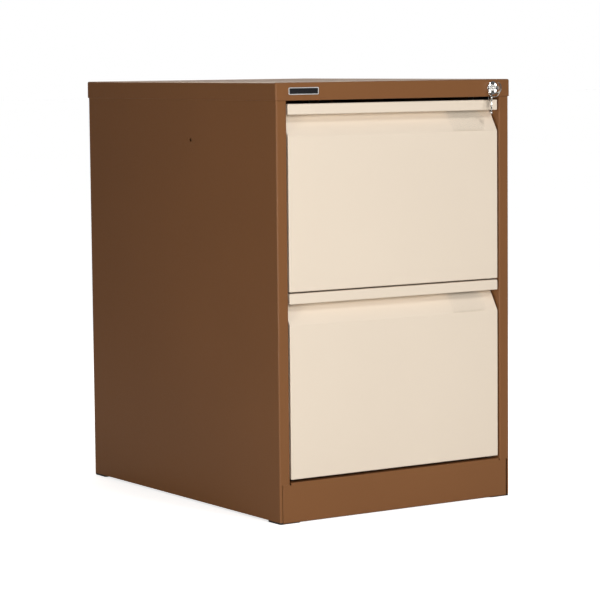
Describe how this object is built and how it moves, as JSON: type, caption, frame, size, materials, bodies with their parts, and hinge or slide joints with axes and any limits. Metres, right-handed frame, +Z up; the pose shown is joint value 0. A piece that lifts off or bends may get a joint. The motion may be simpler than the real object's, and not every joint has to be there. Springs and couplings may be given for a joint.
{
  "type": "filing cabinet",
  "caption": "Low steel filing cabinet with hanging-file drawers on full-extension slides, a folded lip and finger recess on each drawer, a lid, plinth and a key lock.",
  "frame": {"origin": "on the floor, under the centre of the whole object's bounding box, keys in the lock included", "axes": "+Z up; -Y is the front, the way the drawers open; +X is to the right of someone facing the front"},
  "size_m": [0.47, 0.646, 0.711],
  "materials": {
    "brown_paint": "satin powder coat, fine texture",
    "cream_paint": "satin powder coat, fine texture",
    "zinc_steel": "bright zinc plate",
    "ball_steel": "polished",
    "lock_chrome": "polished chrome plate",
    "key_nickel": "worn nickel plate",
    "badge_metal": "satin, dark field with a bright rim",
    "black_plastic": "matt",
    "black_rubber": "matt",
    "clear_plastic": "clear, glossy"
  },
  "bodies": {
    "cabinet": {"top_lid": "brown_paint", "left_side_panel": "brown_paint", "right_side_panel": "brown_paint", "back_panel": "brown_paint", "base_panel": "brown_paint", "plinth": "brown_paint", "front_uprights": "zinc_steel", "rear_uprights": "zinc_steel", "name_badge": "badge_metal", "glide_feet": "black_plastic", "rail_rivets": "zinc_steel", "rail_end_buffers": "black_rubber", "lock_housing": "lock_chrome", "lock_nut": "zinc_steel", "lock_bar_guides": "black_plastic", "upper_left_outer_rail": "zinc_steel", "upper_right_outer_rail": "zinc_steel", "lower_left_outer_rail": "zinc_steel", "lower_right_outer_rail": "zinc_steel"},
    "upper_drawer": {"upper_front_skin": "cream_paint", "upper_front_liner": "cream_paint", "upper_tray": "cream_paint", "upper_tray_back": "cream_paint", "upper_file_rails": "zinc_steel", "upper_label_holder": "clear_plastic", "upper_lock_catch": "zinc_steel", "upper_left_inner_rail": "zinc_steel", "upper_right_inner_rail": "zinc_steel", "upper_tray_rivets": "zinc_steel"},
    "upper_middle_rails": {"upper_left_middle_rail": "zinc_steel", "upper_right_middle_rail": "zinc_steel"},
    "upper_outer_cages": {"upper_outer_ball_cages": "zinc_steel", "upper_outer_balls": "ball_steel"},
    "upper_inner_cages": {"upper_inner_ball_cages": "zinc_steel", "upper_inner_balls": "ball_steel"},
    "lower_drawer": {"lower_front_skin": "cream_paint", "lower_front_liner": "cream_paint", "lower_tray": "cream_paint", "lower_tray_back": "cream_paint", "lower_file_rails": "zinc_steel", "lower_label_holder": "clear_plastic", "lower_lock_catch": "zinc_steel", "lower_left_inner_rail": "zinc_steel", "lower_right_inner_rail": "zinc_steel", "lower_tray_rivets": "zinc_steel"},
    "lower_middle_rails": {"lower_left_middle_rail": "zinc_steel", "lower_right_middle_rail": "zinc_steel"},
    "lower_outer_cages": {"lower_outer_ball_cages": "zinc_steel", "lower_outer_balls": "ball_steel"},
    "lower_inner_cages": {"lower_inner_ball_cages": "zinc_steel", "lower_inner_balls": "ball_steel"},
    "lock_barrel": {"lock_plug": "lock_chrome", "lock_cam": "zinc_steel", "lock_cam_screw": "zinc_steel"},
    "lock_bar": {"lock_bar": "zinc_steel", "lock_hooks": "zinc_steel"},
    "key": {"key_in_lock": "key_nickel"},
    "key_ring": {"key_ring": "key_nickel"},
    "spare_key": {"spare_key": "key_nickel"}
  },
  "joints": [
    {"name": "upper_drawer_slide", "type": "slide", "parent": "cabinet", "child": "upper_drawer", "axis": [0, -1, 0], "range_m": [0, 0.54]},
    {"name": "upper_middle_rail_slide", "type": "slide", "parent": "cabinet", "child": "upper_middle_rails", "axis": [0, -1, 0], "range_m": [0, 0.2705]},
    {"name": "upper_outer_cage_slide", "type": "slide", "parent": "cabinet", "child": "upper_outer_cages", "axis": [0, -1, 0], "range_m": [0, 0.1355]},
    {"name": "upper_inner_cage_slide", "type": "slide", "parent": "cabinet", "child": "upper_inner_cages", "axis": [0, -1, 0], "range_m": [0, 0.4055]},
    {"name": "lower_drawer_slide", "type": "slide", "parent": "cabinet", "child": "lower_drawer", "axis": [0, -1, 0], "range_m": [0, 0.54]},
    {"name": "lower_middle_rail_slide", "type": "slide", "parent": "cabinet", "child": "lower_middle_rails", "axis": [0, -1, 0], "range_m": [0, 0.2705]},
    {"name": "lower_outer_cage_slide", "type": "slide", "parent": "cabinet", "child": "lower_outer_cages", "axis": [0, -1, 0], "range_m": [0, 0.1355]},
    {"name": "lower_inner_cage_slide", "type": "slide", "parent": "cabinet", "child": "lower_inner_cages", "axis": [0, -1, 0], "range_m": [0, 0.4055]},
    {"name": "lock_bar_lift", "type": "slide", "parent": "cabinet", "child": "lock_bar", "axis": [0, 0, 1], "range_m": [0, 0.006]},
    {"name": "lock_turn", "type": "hinge", "parent": "cabinet", "child": "lock_barrel", "pos_m": [0.198, -0.299, 0.6965], "axis": [0, -1, 0], "range_deg": [-90, 0]},
    {"name": "key_pull", "type": "slide", "parent": "lock_barrel", "child": "key", "axis": [0, -1, 0], "range_m": [0, 0.02]},
    {"name": "key_ring_hang", "type": "hinge", "parent": "key", "child": "key_ring", "pos_m": [0.198, -0.3134, 0.6965], "axis": [0, -1, 0], "range_deg": [0, 90]},
    {"name": "spare_key_swing", "type": "hinge", "parent": "key_ring", "child": "spare_key", "pos_m": [0.18954, -0.3077, 0.68071], "axis": [-0.829, 0.5592, 0], "range_deg": [-12, 60]}
  ],
  "couplings": [
    {"joint": "upper_middle_rail_slide", "follows": "upper_drawer_slide", "ratio": 0.5},
    {"joint": "upper_outer_cage_slide", "follows": "upper_drawer_slide", "ratio": 0.25},
    {"joint": "upper_inner_cage_slide", "follows": "upper_drawer_slide", "ratio": 0.75},
    {"joint": "lower_middle_rail_slide", "follows": "lower_drawer_slide", "ratio": 0.5},
    {"joint": "lower_outer_cage_slide", "follows": "lower_drawer_slide", "ratio": 0.25},
    {"joint": "lower_inner_cage_slide", "follows": "lower_drawer_slide", "ratio": 0.75},
    {"joint": "lock_turn", "follows": "lock_bar_lift", "rad_per_m": -261.75},
    {"joint": "key_ring_hang", "follows": "lock_bar_lift", "rad_per_m": 261.75}
  ]
}
